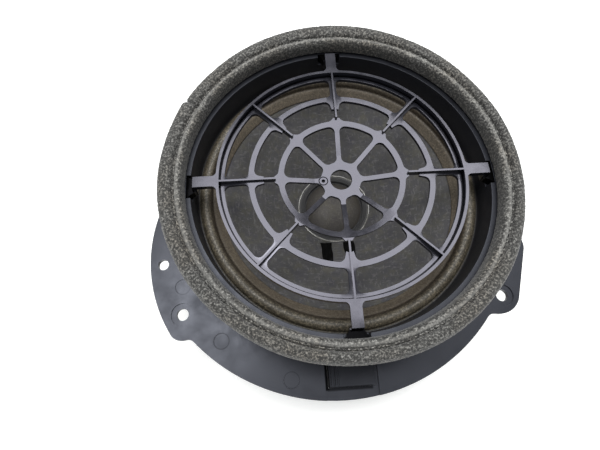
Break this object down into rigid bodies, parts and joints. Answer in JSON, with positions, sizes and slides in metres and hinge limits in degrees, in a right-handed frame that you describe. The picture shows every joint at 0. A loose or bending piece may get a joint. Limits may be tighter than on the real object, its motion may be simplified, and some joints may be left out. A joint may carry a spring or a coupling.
{
  "type": "car door loudspeaker",
  "caption": "Car-door mid-bass loudspeaker with a plastic basket, foam front seal, guard grille, paper cone and ferrite motor, driven in and out by its voice coil.",
  "frame": {"origin": "centre of the four rivet holes, in the plane of the flange's rear face", "axes": "+Z out of the front of the loudspeaker, towards the listener; -Y towards the connector; +X to the right seen from the front"},
  "size_m": [0.2066, 0.2043, 0.0935],
  "materials": {
    "basket_plastic": "moulded black glass-filled plastic, satin",
    "ring_plastic": "moulded black plastic, satin",
    "gasket_foam": "open-cell foam, coarse and speckled",
    "grille_plastic": "moulded black plastic, smooth satin",
    "connector_plastic": "moulded black plastic",
    "terminal_brass": "tin-plated brass",
    "plated_steel": "zinc-plated turned steel",
    "ferrite": "sintered ferrite, dull",
    "screw_steel": "zinc-plated steel",
    "surround_foam": "skinned foam, olive brown, slightly shiny",
    "spider_cloth": "resin-dipped woven cotton",
    "lead_braid": "braided copper tinsel",
    "cone_paper": "pressed fibrous paper, dark grey",
    "cap_paper": "pressed paper, lightly coated",
    "clear_glue": "clear glossy glue",
    "former_film": "amber polyimide film",
    "coil_copper": "enamelled copper wire",
    "black_glue": "black rubbery glue, slightly glossy"
  },
  "bodies": {
    "frame": {"basket_frame": "basket_plastic", "front_ring": "ring_plastic", "foam_gasket": "gasket_foam", "guard_grille": "grille_plastic", "connector_housing": "connector_plastic", "terminal_strip_left": "terminal_brass", "terminal_strip_right": "terminal_brass", "front_plate": "plated_steel", "ferrite_magnet": "ferrite", "pole_yoke": "plated_steel", "motor_screws": "screw_steel", "surround": "surround_foam", "spider": "spider_cloth", "tinsel_lead_left": "lead_braid", "tinsel_lead_right": "lead_braid"},
    "moving_cone": {"cone": "cone_paper", "dust_cap": "cap_paper", "cap_glue_bead": "clear_glue", "coil_former": "former_film", "voice_coil": "coil_copper", "lead_glue_left": "black_glue", "lead_glue_right": "black_glue"}
  },
  "joints": [
    {"name": "cone_excursion", "type": "slide", "parent": "frame", "child": "moving_cone", "axis": [0, 0, 1], "range_m": [-0.004, 0.004], "stiffness_N_per_m": 2000, "deforming": ["surround", "spider", "tinsel_lead_left", "tinsel_lead_right"]}
  ]
}
